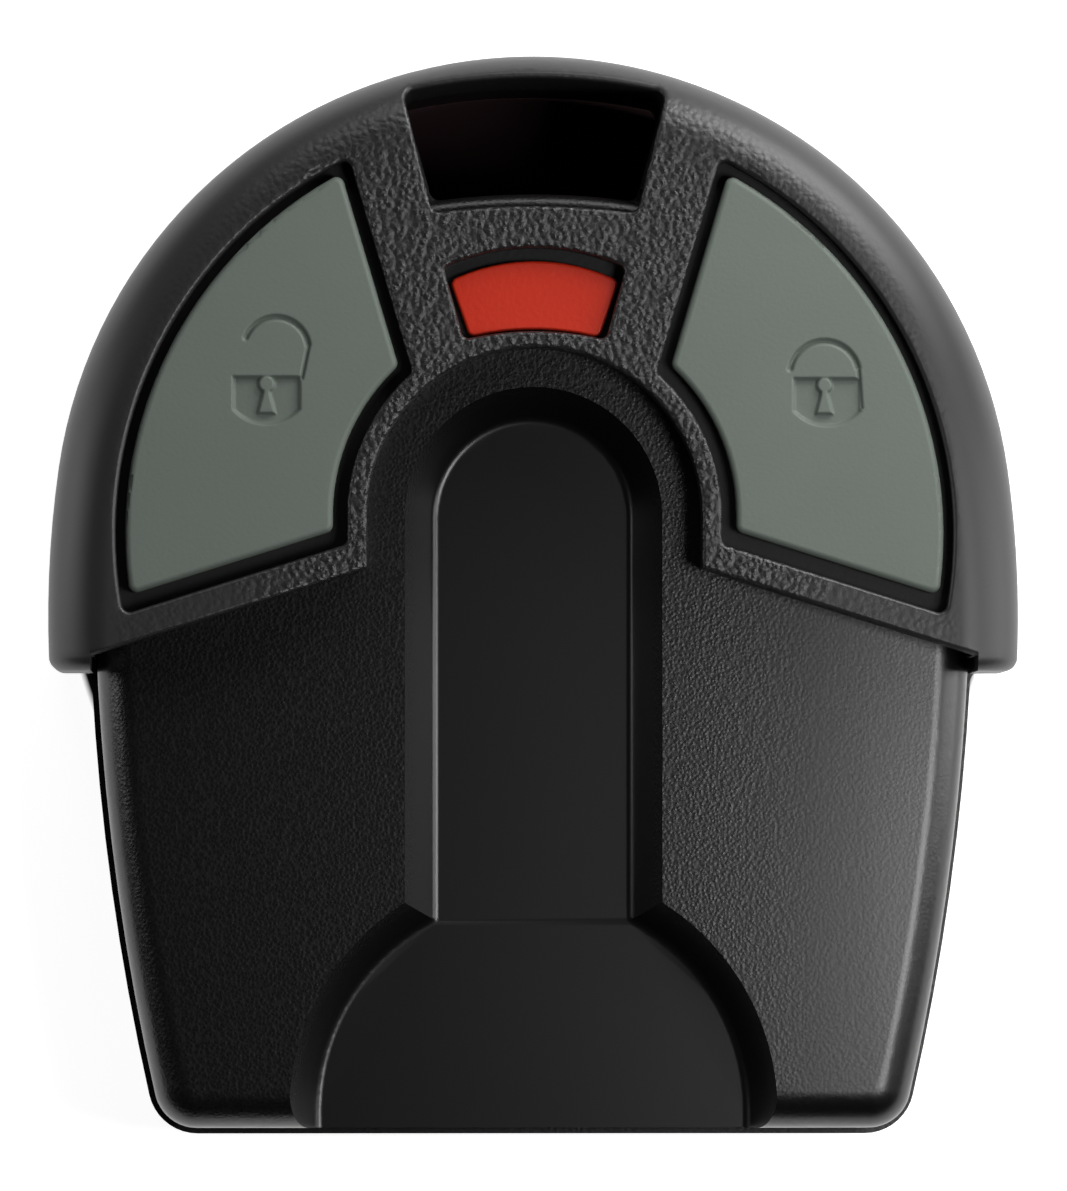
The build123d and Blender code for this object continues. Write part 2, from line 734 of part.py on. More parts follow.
# Push switches: a moulded base, a steel cover folded over it and the plunger between them
cover_level = board_top + switch_base_height
bore_radius = plunger_radius + plunger_gap
for name, centre in key_centres.items():
    with BuildPart() as switch_base:
        with BuildSketch(Plane.XY.offset(board_top)):
            with Locations(centre):
                Rectangle(switch_side, switch_side)
        extrude(amount=switch_base_height)
        with BuildSketch(Plane.XY.offset(cover_level)):
            with Locations(centre):
                Circle(bore_radius)
        extrude(amount=-plunger_depth - plunger_travel - plunger_floor, mode=Mode.SUBTRACT)
    finish_piece(switch_base.part, name + "_switch_base")

    with BuildPart() as switch_cover:
        with BuildSketch(Plane.XY.offset(cover_level)):
            with Locations(centre):
                Rectangle(switch_side, switch_side)
                Circle(bore_radius, mode=Mode.SUBTRACT)
        extrude(amount=switch_cover_height)
        with BuildSketch(Plane.XY.offset(board_top)):
            with Locations(centre):
                with GridLocations(switch_side + switch_cover_height, switch_side / 2, 2, 2):
                    Rectangle(switch_cover_height, switch_leg_width)
        extrude(amount=cover_level + switch_cover_height - board_top)
        with BuildSketch(Plane.XY.offset(board_top)):
            with Locations(centre):
                with GridLocations(switch_side + switch_leg_reach, switch_side / 2, 2, 2):
                    Rectangle(switch_leg_reach, switch_leg_width)
        extrude(amount=switch_cover_height)
    finish_piece(switch_cover.part, name + "_switch_cover")

    with BuildPart() as plunger:
        with BuildSketch(Plane.XY.offset(cover_level - plunger_depth)):
            with Locations(centre):
                Circle(plunger_radius)
        extrude(amount=plunger_top - cover_level + plunger_depth)
        chamfer(plunger.faces().sort_by(Axis.Z)[-1].edges(), plunger_chamfer)
    finish_piece(plunger.part, name + "_plunger")

# Coin cell: the can stands on the strap with its narrower cap up
cell_bottom = rear_floor + contact_seat + contact_thickness
cell_height = board_bottom - leaf_room - cell_bottom
with BuildPart() as coin_cell:
    with BuildSketch(Plane.XY.offset(cell_bottom)):
        with Locations((0, cell_centre_y)):
            Circle(cell_radius)
    extrude(amount=cell_height - cell_cap_height)
    with BuildSketch(Plane.XY.offset(cell_bottom)):
        with Locations((0, cell_centre_y)):
            Circle(cell_cap_radius)
    extrude(amount=cell_height)
finish_piece(coin_cell.part, "coin_cell")

# Positive contact: a strap from the board down the rim of the cell and in under the can
strap_x = cell_radius + contact_side_gap
strap_bottom = cell_bottom - contact_thickness
with BuildPart() as positive_contact:
    with BuildSketch(Plane.XZ.offset(-cell_centre_y - contact_width / 2)):
        with BuildLine():
            Polyline(
                (strap_x - contact_reach, strap_bottom),
                (strap_x + contact_thickness, strap_bottom),
                (strap_x + contact_thickness, board_bottom - contact_thickness),
                (strap_x + contact_foot, board_bottom - contact_thickness),
                (strap_x + contact_foot, board_bottom),
                (strap_x, board_bottom),
                (strap_x, cell_bottom),
                (strap_x - contact_reach, cell_bottom),
                close=True,
            )
        make_face()
    extrude(amount=contact_width)
finish_piece(positive_contact.part, "positive_contact")

# Negative contact: a leaf under the board that springs down onto the cap
cap_top = cell_bottom + cell_height
leaf_start = -leaf_half_length
with BuildPart() as negative_contact:
    with BuildSketch(Plane.XZ.offset(-cell_centre_y - leaf_width / 2)):
        with BuildLine():
            Polyline(
                (leaf_start, board_bottom),
                (leaf_start, board_bottom - contact_thickness),
                (leaf_start + leaf_foot, board_bottom - contact_thickness),
                (leaf_half_length - leaf_tip, cap_top),
                (leaf_half_length, cap_top),
                (leaf_half_length, cap_top + contact_thickness),
                (leaf_half_length - leaf_tip, cap_top + contact_thickness),
                (leaf_start + leaf_foot, board_bottom),
                close=True,
            )
        make_face()
    extrude(amount=leaf_width)
finish_piece(negative_contact.part, "negative_contact")

# Controller chip: a moulded block with a row of gull-wing leads along each long side
with BuildPart() as controller_chip:
    with BuildSketch(Plane.XY.offset(board_top + chip_lift)):
        with Locations(chip_centre):
            Rectangle(chip_width, chip_length)
    extrude(amount=chip_height)
    with BuildSketch(Plane.XY.offset(board_top)):
        with Locations(chip_centre):
            with GridLocations(chip_width + chip_lead_reach, chip_lead_pitch, 2, chip_lead_count):
                Rectangle(chip_lead_reach, chip_lead_width)
    extrude(amount=chip_lead_height)
finish_piece(controller_chip.part, "controller_chip")

# Resonator: a round steel can on a brim
with BuildPart() as resonator_can:
    with BuildSketch(Plane.XY.offset(board_top)):
        with Locations(can_centre):
            Circle(can_radius + can_brim)
    extrude(amount=can_brim_height)
    with BuildSketch(Plane.XY.offset(board_top)):
        with Locations(can_centre):
            Circle(can_radius)
    extrude(amount=room_height * can_height_share)
    fillet(resonator_can.faces().sort_by(Axis.Z)[-1].edges(), can_edge_radius)
finish_piece(resonator_can.part, "resonator_can")

# Crystal: a low steel case with round ends
with BuildPart() as crystal:
    with BuildSketch(Plane.XY.offset(board_top)):
        with Locations(crystal_centre):
            SlotOverall(crystal_length, crystal_width)
    extrude(amount=room_height * crystal_height_share)
finish_piece(crystal.part, "crystal")

# Aerial: a stamped strip that stands on two legs over the right side of the board
loop_height = room_height * loop_height_share
with BuildPart() as aerial_loop:
    with BuildSketch(Plane.XZ.offset(-loop_y)):
        with Locations((loop_x, board_top)):
            Rectangle(loop_length, loop_height, align=(Align.CENTER, Align.MIN))
            Rectangle(
                loop_length - loop_wire * 2,
                loop_height - loop_wire,
                align=(Align.CENTER, Align.MIN),
                mode=Mode.SUBTRACT,
            )
    extrude(amount=loop_width)
finish_piece(aerial_loop.part, "aerial_loop")

# Output transistor: a small moulded block
with BuildPart() as transistor:
    with BuildSketch(Plane.XY.offset(board_top)):
        with Locations(transistor_centre):
            Rectangle(transistor_length, transistor_width)
    extrude(amount=transistor_height)
finish_piece(transistor.part, "transistor")

# Capacitors and resistors: rows of small blocks on the board
for name, row_centre, count in (
    ("capacitors", capacitor_row, capacitor_count),
    ("resistors", resistor_row, resistor_count),
):
    with BuildPart() as row:
        with BuildSketch(Plane.XY.offset(board_top)):
            with Locations(row_centre):
                with GridLocations(passive_pitch, passive_pitch, count, 1):
                    Rectangle(passive_width, passive_length)
        extrude(amount=passive_height)
    finish_piece(row.part, name)

# Screws: two short ones at the foot and two long ones that draw the hood down as well
for name, places, top in (
    ("foot_screws", low_screws, low_screw_top),
    ("hood_screws", high_screws, high_screw_top),
):
    with BuildPart() as screws:
        with BuildSketch(Plane.XY.offset(screw_head_depth)):
            with Locations(*places):
                Circle(screw_head_radius)
        extrude(amount=screw_head_height)
        with BuildSketch(Plane.XY.offset(screw_head_depth)):
            with Locations(*places):
                Circle(screw_radius)
        extrude(amount=top - screw_head_depth)
        with BuildSketch(Plane.XY.offset(screw_head_depth)):
            with Locations(*places):
                Rectangle(screw_head_radius, driver_slot_width)
                Rectangle(driver_slot_width, screw_head_radius)
        extrude(amount=driver_slot_depth, mode=Mode.SUBTRACT)
    finish_piece(screws.part, name)
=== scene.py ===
import math

import bmesh
import bpy
import numpy as np
from mathutils import Matrix, Vector


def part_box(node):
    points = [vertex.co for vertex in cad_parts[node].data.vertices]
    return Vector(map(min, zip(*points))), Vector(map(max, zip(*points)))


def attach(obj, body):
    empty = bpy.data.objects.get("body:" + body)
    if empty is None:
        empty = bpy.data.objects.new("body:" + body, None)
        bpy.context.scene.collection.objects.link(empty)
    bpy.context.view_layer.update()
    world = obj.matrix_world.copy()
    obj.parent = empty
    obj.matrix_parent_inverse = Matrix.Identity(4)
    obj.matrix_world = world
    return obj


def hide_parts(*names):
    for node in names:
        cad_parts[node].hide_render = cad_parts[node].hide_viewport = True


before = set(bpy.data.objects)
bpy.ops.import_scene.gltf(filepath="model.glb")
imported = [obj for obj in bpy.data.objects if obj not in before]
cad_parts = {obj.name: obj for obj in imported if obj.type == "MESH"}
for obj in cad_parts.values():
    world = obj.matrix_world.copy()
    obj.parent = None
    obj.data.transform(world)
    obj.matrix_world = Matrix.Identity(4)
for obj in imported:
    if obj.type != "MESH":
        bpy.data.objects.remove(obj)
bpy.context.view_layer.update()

# Camera. It looks straight down on the buttons from half a metre up, about one degree to
# the left and a little from the foot, as the photograph does. Lengths are in metres unless
# a comment says otherwise, in the part's own frame.
mm = 0.001
view_centre = Vector((0.0 * mm, -2.9 * mm, 11.0 * mm))
view_width = 51.2 * mm
view_distance = 520 * mm
view_left = math.radians(1.2)
view_foot = math.radians(1.5)
away = Vector((-math.sin(view_left), -math.sin(view_foot), math.cos(view_left))).normalized()
camera = bpy.data.objects.new("camera", bpy.data.cameras.new("camera"))
bpy.context.scene.collection.objects.link(camera)
sensor_width = 36.0
camera.data.sensor_fit = "HORIZONTAL"
camera.data.sensor_width = sensor_width
camera.data.lens = sensor_width * view_distance / view_width
camera.data.clip_start = 10 * mm
right = Vector((0, 1, 0)).cross(away).normalized()
turn = Matrix((right, away.cross(right), away)).transposed().to_4x4()
camera.matrix_world = Matrix.Translation(view_centre + away * view_distance) @ turn
bpy.context.scene.camera = camera
bpy.context.scene.view_settings.view_transform = "Standard"

# Table and studio light. The pale sheet reads as white to the camera and keeps the shadow of
# the fob; right under the fob its colour is painted dark, as painted shade seen through the ring
# slot. Two small softboxes stand close at the right; larger weak ones stand low at both sides
# and over the ring end.


def linear(code):
    """Turns an sRGB hex colour into the linear colour that a shader takes."""
    values = np.array([int(code[i : i + 2], 16) for i in (1, 3, 5)]) / 255
    low = values / 12.92
    high = ((values + 0.055) / 1.055) ** 2.4
    return (*np.where(values <= 0.04045, low, high).tolist(), 1.0)


def add_node(tree, kind, links=(), **settings):
    """Adds a node, sets its properties and its sockets by name, and links its inputs."""
    node = tree.nodes.new(kind)
    for name, value in settings.items():
        if hasattr(node, name):
            setattr(node, name, value)
        else:
            node.inputs[name.replace("_", " ")].default_value = value
    for socket, source in links:
        tree.links.new(source, node.inputs[socket])
    return node


def new_material(name):
    """An empty node material with its output, which is returned with it."""
    made = bpy.data.materials.new(name)
    made.use_nodes = True
    made.node_tree.nodes.clear()
    return made, made.node_tree, made.node_tree.nodes.new("ShaderNodeOutputMaterial")


table_width = 1.2
table_gap = 0.02 * mm
painted_shade_reach = 22.6 * mm
pale_reach = 22.9 * mm
table_glow = 0.9
room_light = 0.01
bpy.ops.mesh.primitive_plane_add(size=table_width, location=(0, 0, -table_gap))
table = bpy.context.object
table.name = "table"
table_paint, tree, output = new_material("table_sheet")
spot = add_node(tree, "ShaderNodeNewGeometry")
reach = add_node(tree, "ShaderNodeVectorMath", [(0, spot.outputs["Position"])], operation="LENGTH")
beyond = add_node(tree, "ShaderNodeMapRange", [("Value", reach.outputs["Value"])],
                  From_Min=painted_shade_reach, From_Max=pale_reach)
path = add_node(tree, "ShaderNodeLightPath")
direct = add_node(tree, "ShaderNodeMath",
                  [(0, path.outputs["Is Camera Ray"]), (1, path.outputs["Is Glossy Ray"])],
                  operation="MAXIMUM")
seen = add_node(tree, "ShaderNodeMath",
                [(0, direct.outputs[0]), (1, beyond.outputs[0])], operation="MULTIPLY")
glow_level = add_node(tree, "ShaderNodeMath", [(0, seen.outputs[0])], operation="MULTIPLY")
glow_level.inputs[1].default_value = table_glow
# Painted shade: inside this reach the sheet's own colour is dark, standing in for the fob's shadow
# where the ring slot shows the table.
painted_shade_mix = add_node(tree, "ShaderNodeMix", [("Factor", beyond.outputs[0])], data_type="RGBA")
painted_shade_mix.inputs[6].default_value = linear("#2c2022")
painted_shade_mix.inputs[7].default_value = linear("#d8d8d8")
sheet = add_node(tree, "ShaderNodeBsdfDiffuse", [("Color", painted_shade_mix.outputs[2])])
glow = add_node(tree, "ShaderNodeEmission", [("Strength", glow_level.outputs[0])],
                Color=(1, 1, 1, 1))
both = add_node(tree, "ShaderNodeAddShader", [(0, sheet.outputs[0]), (1, glow.outputs[0])])
tree.links.new(both.outputs[0], output.inputs["Surface"])
table.data.materials.append(table_paint)

world = bpy.data.worlds.new("room")
world.use_nodes = True
bpy.context.scene.world = world
room = world.node_tree.nodes["Background"]
room.inputs["Color"].default_value = linear("#eef0f4")
room.inputs["Strength"].default_value = room_light
fob_middle = (0, 0, 10 * mm)


def softbox(name, position, width, height, power):
    """A rectangular area lamp at a position, in metres, that faces the middle of the fob;
    its power is in watts."""
    lamp = bpy.data.lights.new(name, "AREA")
    lamp.shape = "RECTANGLE"
    lamp.size = width
    lamp.size_y = height
    lamp.energy = power
    holder = bpy.data.objects.new(name, lamp)
    bpy.context.scene.collection.objects.link(holder)
    holder.location = position
    aim = Vector(fob_middle) - Vector(position)
    holder.rotation_euler = aim.to_track_quat("-Z", "Y").to_euler()
    holder.visible_camera = False


softbox("main_softbox", (0.055, 0.07, 0.05), 0.05, 0.05, 0.075)
softbox("overhead_softbox", (0.065, -0.02, 0.13), 0.04, 0.05, 0.078)
softbox("right_softbox", (0.16, 0.0, 0.06), 0.05, 0.16, 0.125)
softbox("left_softbox", (-0.16, 0.02, 0.028), 0.05, 0.16, 0.08)
softbox("top_softbox", (0.0, 0.115, 0.085), 0.12, 0.05, 0.05)

# Hood. It is moulded in black ABS in a tool with a leather grain of about a third of a
# millimetre, and its rim is rubbed smooth and dull by the pocket. Two long screws from the
# back hold it down.


def grained_abs(name, colours, cell, depth, roughness, fine, grain_share=None, matter=0.0):
    """Moulded plastic with a pebble grain: cells of the given size in metres, raised and
    rounded, with a finer grit on top. The cells are Voronoi, whose smooth distance is the
    height. The hollows are a little duller than the tops. A share of the grain that depends
    on the place fades it out where the surface is smooth, and there the roughness rises by
    matter."""
    bend_width, bend_reach, rounding, grit_depth = 0.35, 0.8, 0.45, 0.35
    top_gloss, hollow_gloss = -0.04, 0.06
    made, tree, output = new_material(name)
    place = add_node(tree, "ShaderNodeTexCoord")
    warp = add_node(tree, "ShaderNodeTexNoise", [("Vector", place.outputs["Object"])],
                    Scale=bend_width / cell, Detail=2.0)
    offset = add_node(tree, "ShaderNodeVectorMath", [(0, warp.outputs["Color"])],
                      operation="SCALE")
    offset.inputs["Scale"].default_value = cell * bend_reach
    moved = add_node(tree, "ShaderNodeVectorMath",
                     [(0, place.outputs["Object"]), (1, offset.outputs[0])], operation="ADD")
    pebbles = add_node(tree, "ShaderNodeTexVoronoi", [("Vector", moved.outputs[0])],
                       feature="SMOOTH_F1", Scale=1 / cell, Smoothness=rounding)
    grit = add_node(tree, "ShaderNodeTexNoise", [("Vector", place.outputs["Object"])],
                    Scale=1 / (cell * fine), Detail=4.0, Roughness=0.6)
    worn = add_node(tree, "ShaderNodeMapRange", [("Value", pebbles.outputs["Distance"])],
                    From_Min=0.1, From_Max=0.7, To_Min=top_gloss, To_Max=hollow_gloss)
    rough = add_node(tree, "ShaderNodeMath", [(0, worn.outputs[0])], operation="ADD")
    rough.inputs[1].default_value = roughness
    tint = add_node(tree, "ShaderNodeMix", [("Factor", grit.outputs["Fac"])], data_type="RGBA")
    tint.inputs[6].default_value = linear(colours[0])
    tint.inputs[7].default_value = linear(colours[1])
    low = add_node(tree, "ShaderNodeBump", [("Height", pebbles.outputs["Distance"])],
                   invert=True, Strength=1.0, Distance=depth)
    high = add_node(tree, "ShaderNodeBump",
                    [("Height", grit.outputs["Fac"]), ("Normal", low.outputs[0])],
                    Strength=1.0, Distance=depth * grit_depth)
    if grain_share:
        share = grain_share(tree, place)
        tree.links.new(share, low.inputs["Strength"])
        tree.links.new(share, high.inputs["Strength"])
        sharp = add_node(tree, "ShaderNodeMath", [(0, worn.outputs[0])], operation="SUBTRACT")
        sharp.inputs[1].default_value = matter
        rough = add_node(tree, "ShaderNodeMath", [(0, share), (1, sharp.outputs[0])],
                         operation="MULTIPLY_ADD")
        rough.inputs[2].default_value = roughness + matter
    surface = add_node(tree, "ShaderNodeBsdfPrincipled",
                       [("Base Color", tint.outputs[2]), ("Roughness", rough.outputs[0]),
                        ("Normal", high.outputs[0])], IOR=1.53)
    tree.links.new(surface.outputs[0], output.inputs["Surface"])
    return made


merge_reach = 1e-7
sharp_angle = math.radians(30.0)


def smooth_copy(node, name):
    """A merged copy of a CAD node's mesh with its curves shaded smooth up to an angle."""
    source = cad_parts[node]
    mesh = source.data.copy()
    mesh.name = name
    shape = bmesh.new()
    shape.from_mesh(mesh)
    bmesh.ops.remove_doubles(shape, verts=shape.verts, dist=merge_reach)
    for face in shape.faces:
        face.smooth = True
    for edge in shape.edges:
        edge.smooth = len(edge.link_faces) == 2 and edge.calc_face_angle(0.0) < sharp_angle
    shape.to_mesh(mesh)
    shape.free()
    mesh.materials.clear()
    piece = bpy.data.objects.new(name, mesh)
    bpy.context.scene.collection.objects.link(piece)
    return piece


def dress(node, body, material):
    """Puts a smooth copy of a CAD node in its place, with its body, slot and material."""
    piece = smooth_copy(node, node + "_shown")
    even = piece.modifiers.new("even_shading", "WEIGHTED_NORMAL")
    even.keep_sharp = True
    piece.data.materials.append(material)
    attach(piece, body)
    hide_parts(node)
    return piece


rim_start, rim_full = 19.6 * mm, 20.4 * mm
wear_start, wear_full = 13.0 * mm, 17.0 * mm
wear_middle_y = 6.0 * mm
ring_end_lean = 0.09


def rim_polish(tree, place):
    """Full grain on the flat near the ring slot, less towards the foot and little on the
    rounded rim: it fades with the distance from a point below the slot, and again with the
    distance from the middle, further out towards the ring end."""
    parts = add_node(tree, "ShaderNodeSeparateXYZ", [(0, place.outputs["Object"])])
    upper = add_node(tree, "ShaderNodeMath", [(0, parts.outputs[1])], operation="MAXIMUM")
    upper.inputs[1].default_value = 0.0
    flat = add_node(tree, "ShaderNodeCombineXYZ", [(0, parts.outputs[0]), (1, upper.outputs[0])])
    out = add_node(tree, "ShaderNodeVectorMath", [(0, flat.outputs[0])], operation="LENGTH")
    lean = add_node(tree, "ShaderNodeMath", [(0, upper.outputs[0]), (2, out.outputs["Value"])],
                    operation="MULTIPLY_ADD")
    lean.inputs[1].default_value = -ring_end_lean
    kept = add_node(tree, "ShaderNodeMapRange", [("Value", lean.outputs[0])],
                    From_Min=rim_start, From_Max=rim_full, To_Min=1.0, To_Max=0.1)
    near = add_node(tree, "ShaderNodeVectorMath", [(0, place.outputs["Object"])],
                    operation="MULTIPLY_ADD")
    near.inputs[1].default_value = (1, 1, 0)
    near.inputs[2].default_value = (0, -wear_middle_y, 0)
    span = add_node(tree, "ShaderNodeVectorMath", [(0, near.outputs[0])], operation="LENGTH")
    fresh = add_node(tree, "ShaderNodeMapRange", [("Value", span.outputs["Value"])],
                     From_Min=wear_start, From_Max=wear_full, To_Min=1.0, To_Max=0.2)
    both = add_node(tree, "ShaderNodeMath", [(0, kept.outputs[0]), (1, fresh.outputs[0])],
                    operation="MULTIPLY")
    return both.outputs[0]


hood_abs = grained_abs("abs_leather_grain", ("#1c1b1c", "#262526"), cell=0.3 * mm,
                       depth=0.085 * mm, roughness=0.28, fine=0.35, grain_share=rim_polish,
                       matter=0.18)
dress("hood", "casing", hood_abs)

# Front and rear cover. The same ABS with a much finer sparked finish; the front cover
# carries the channel that the rib of the key head slides into.
channel_level, face_level = 10.4 * mm, 10.8 * mm
thumb_start, thumb_full = 8.5 * mm, 13.5 * mm


def face_grain(tree, place):
    """Full grain on the face beside the channel, worn even towards the right edge, where the
    thumb holds the fob; little in the channel and down the sides, where it fades with height."""
    parts = add_node(tree, "ShaderNodeSeparateXYZ", [(0, place.outputs["Object"])])
    kept = add_node(tree, "ShaderNodeMapRange", [("Value", parts.outputs[2])],
                    From_Min=channel_level, From_Max=face_level, To_Min=0.05, To_Max=1.0)
    worn = add_node(tree, "ShaderNodeMapRange", [("Value", parts.outputs[0])],
                    From_Min=thumb_start, From_Max=thumb_full, To_Min=1.0, To_Max=0.25)
    both = add_node(tree, "ShaderNodeMath", [(0, kept.outputs[0]), (1, worn.outputs[0])],
                    operation="MULTIPLY")
    return both.outputs[0]


cover_black = ("#0d0b0b", "#110f0f")
front_abs = grained_abs("abs_fine_spark", cover_black, cell=0.17 * mm, depth=0.013 * mm,
                        roughness=0.30, fine=0.5, grain_share=face_grain)
back_abs = grained_abs("abs_even_spark", cover_black, cell=0.2 * mm, depth=0.009 * mm,
                       roughness=0.36, fine=0.5)
dress("front_cover", "casing", front_abs)
dress("rear_cover", "casing", back_abs)

# Keys. Silicone rubber, pressed in a mould with a soft matt finish. The large ones are
# green-grey, the alarm key is red and a little glossier. Below their tops they are painted dark,
# as painted shade in the gaps.


def silicone(name, colours, roughness, grain, top=None, reach=0.6 * mm):
    """Moulded silicone: matt, with a fine even grit and a very slight change of tone. Below
    the top of a key the colour is painted dark within a short reach, as painted shade in the gap."""
    cloud_width = 5.5556 * mm
    grit_share = 0.05
    made, tree, output = new_material(name)
    place = add_node(tree, "ShaderNodeTexCoord")
    cloud = add_node(tree, "ShaderNodeTexNoise", [("Vector", place.outputs["Object"])],
                     Scale=1 / cloud_width, Detail=3.0)
    grit = add_node(tree, "ShaderNodeTexNoise", [("Vector", place.outputs["Object"])],
                    Scale=1 / grain, Detail=3.0, Roughness=0.55)
    tint = add_node(tree, "ShaderNodeMix", [("Factor", cloud.outputs["Fac"])], data_type="RGBA")
    tint.inputs[6].default_value = linear(colours[0])
    tint.inputs[7].default_value = linear(colours[1])
    colour = tint
    if top:
        parts = add_node(tree, "ShaderNodeSeparateXYZ", [(0, place.outputs["Object"])])
        # Painted shade: below the key's top the colour fades to near black, standing in for the
        # shade in the gap round the key.
        painted_shade_fade = add_node(tree, "ShaderNodeMapRange", [("Value", parts.outputs[2])],
                         From_Min=top - reach, From_Max=top - reach / 2)
        colour = add_node(tree, "ShaderNodeMix",
                          [("Factor", painted_shade_fade.outputs[0]), (7, tint.outputs[2])], data_type="RGBA")
        colour.inputs[6].default_value = linear("#0a0a0a")
    bump = add_node(tree, "ShaderNodeBump", [("Height", grit.outputs["Fac"])],
                    Strength=1.0, Distance=grain * grit_share)
    surface = add_node(tree, "ShaderNodeBsdfPrincipled",
                       [("Base Color", colour.outputs[2]), ("Normal", bump.outputs[0])],
                       IOR=1.42, Roughness=roughness)
    tree.links.new(surface.outputs[0], output.inputs["Surface"])
    return made


key_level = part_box("lock_button")[1][2]
alarm_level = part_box("alarm_button")[1][2]
key_silicone = silicone("grey_silicone", ("#5e665f", "#646c65"), roughness=0.6,
                        grain=0.2 * mm, top=key_level)
red_silicone = silicone("red_silicone", ("#b22104", "#b92608"), roughness=0.46,
                        grain=0.25 * mm, top=alarm_level, reach=0.25 * mm)
dress("alarm_button", "alarm_key", red_silicone)

# Padlock signs on the two large keys. They are pressed a quarter of a millimetre into the
# rubber by the mould: open on the left key, shut on the right one, with the keyhole left
# standing. Lengths here are in millimetres, and distances are negative inside a shape.


def soft_step(value):
    """Smooth rise from 0 to 1: three times the square less twice the cube."""
    t = np.clip(value, 0, 1)
    return t * t * (3 - 2 * t)


def to_arc(x, y, centre_x, centre_y, radius, first, last):
    """Distance to an arc: to its circle between two bearings in degrees, else to an end."""
    bearing = np.degrees(np.arctan2(y - centre_y, x - centre_x))
    ring = np.abs(np.hypot(x - centre_x, y - centre_y) - radius)
    ends = [
        np.hypot(x - centre_x - radius * math.cos(math.radians(end)),
                 y - centre_y - radius * math.sin(math.radians(end)))
        for end in (first, last)
    ]
    return np.where((bearing > first) & (bearing < last), ring, np.minimum(*ends))


def to_line(x, y, x0, y0, x1, y1):
    """Distance to a straight line between two points: to its nearest point."""
    along = ((x - x0) * (x1 - x0) + (y - y0) * (y1 - y0)) / ((x1 - x0) ** 2 + (y1 - y0) ** 2)
    along = np.clip(along, 0, 1)
    return np.hypot(x - x0 - along * (x1 - x0), y - y0 - along * (y1 - y0))


sign_depth = 0.26
body_wall, hole_wall = 0.2, 0.16
bow_half, bow_share = 0.2, 0.85
leg_half, leg_share = 0.14, 0.7
stem_half, stem_start, stem_flare = 0.17, 0.45, 0.26


def padlock_depth(x, y, lock):
    """How far the sign is pressed in: full depth inside the body and along the shackle, with
    soft walls, and less by a soft step over the keyhole."""
    centre, top, half, bowl_y, bowl = lock["body"]
    body = np.maximum(y - top, np.abs(x - centre) - half)
    body = np.maximum(body, np.hypot(x - centre, y - bowl_y) - bowl)
    hole_x, hole_y, hole_radius, hole_foot = lock["keyhole"]
    below = np.clip(hole_y - stem_start - y, 0, None)
    flare = np.abs(x - hole_x) - stem_half - below * stem_flare
    hole = np.maximum(np.maximum(flare, y - hole_y), hole_foot - y)
    hole = np.minimum(hole, np.hypot(x - hole_x, y - hole_y) - hole_radius)
    pressed = soft_step(-body / body_wall) * (1 - soft_step(-hole / hole_wall + 0.5))
    bow = soft_step((bow_half - to_arc(x, y, *lock["bow"])) / bow_half)
    leg = soft_step((leg_half - to_line(x, y, *lock["leg"])) / leg_half)
    return sign_depth * np.maximum(pressed, np.maximum(bow_share * bow, leg_share * leg))


open_padlock = {
    "body": (-12.8, 7.55, 1.68, 7.36, 2.24),
    "keyhole": (-12.8, 7.12, 0.38, 5.72),
    "bow": (-12.36, 8.73, 1.565, 10, 157),
    "leg": (-10.8, 8.95, -11.12, 7.4),
    "window": (-15.2, -10.2, 4.5, 10.8),
}
shut_padlock = {
    "body": (13.98, 7.5, 1.68, 7.3, 2.24),
    "keyhole": (13.85, 7.08, 0.36, 5.72),
    "bow": (13.83, 7.52, 1.66, 14, 168),
    "leg": (15.46, 8.0, 15.6, 6.0),
    "window": (11.6, 16.2, 4.5, 9.7),
}
grid_step = 0.045
level_slack = 1e-6


def press_padlock(piece, lock, level, name):
    """Opens a square window in the flat top of a key and fills it with a fine grid whose
    height is the level of the top less the depth of the sign."""
    low_x, high_x, low_y, high_y = lock["window"]
    columns = int((high_x - low_x) / grid_step)
    rows = int((high_y - low_y) / grid_step)
    x, y = np.meshgrid(np.linspace(low_x, high_x, columns), np.linspace(low_y, high_y, rows))
    z = level / mm - padlock_depth(x, y, lock)
    points = np.stack((x, y, z), axis=-1).reshape(-1, 3) * mm
    index = np.arange(rows * columns).reshape(rows, columns)
    corners = (index[:-1, :-1], index[:-1, 1:], index[1:, 1:], index[1:, :-1])
    quads = np.stack(corners, axis=-1).reshape(-1, 4)
    patch = bpy.data.meshes.new(name)
    patch.from_pydata(points.tolist(), [], quads.tolist())
    patch.polygons.foreach_set("use_smooth", np.ones(len(quads), dtype=bool))
    shape = bmesh.new()
    shape.from_mesh(piece.data)
    for side, place in ((0, low_x), (0, high_x), (1, low_y), (1, high_y)):
        spot, normal = Vector((0, 0, 0)), Vector((0, 0, 0))
        spot[side] = place * mm
        normal[side] = 1
        tops = [face for face in shape.faces
                if all(abs(corner.co.z - level) < level_slack for corner in face.verts)]
        edges = {edge for face in tops for edge in face.edges}
        corners = {corner for face in tops for corner in face.verts}
        bmesh.ops.bisect_plane(shape, geom=tops + list(edges) + list(corners),
                               plane_co=spot, plane_no=normal)
    window = []
    for face in shape.faces:
        middle = face.calc_center_median() / mm
        flat = all(abs(corner.co.z - level) < level_slack for corner in face.verts)
        if flat and low_x < middle.x < high_x and low_y < middle.y < high_y:
            window.append(face)
    bmesh.ops.delete(shape, geom=window, context="FACES")
    shape.from_mesh(patch)
    shape.to_mesh(piece.data)
    shape.free()
    bpy.data.meshes.remove(patch)


shut_key = dress("lock_button", "lock_key", key_silicone)
press_padlock(shut_key, shut_padlock, key_level, "shut_padlock")
open_key = dress("unlock_button", "unlock_key", key_silicone)
press_padlock(open_key, open_padlock, key_level, "open_padlock")

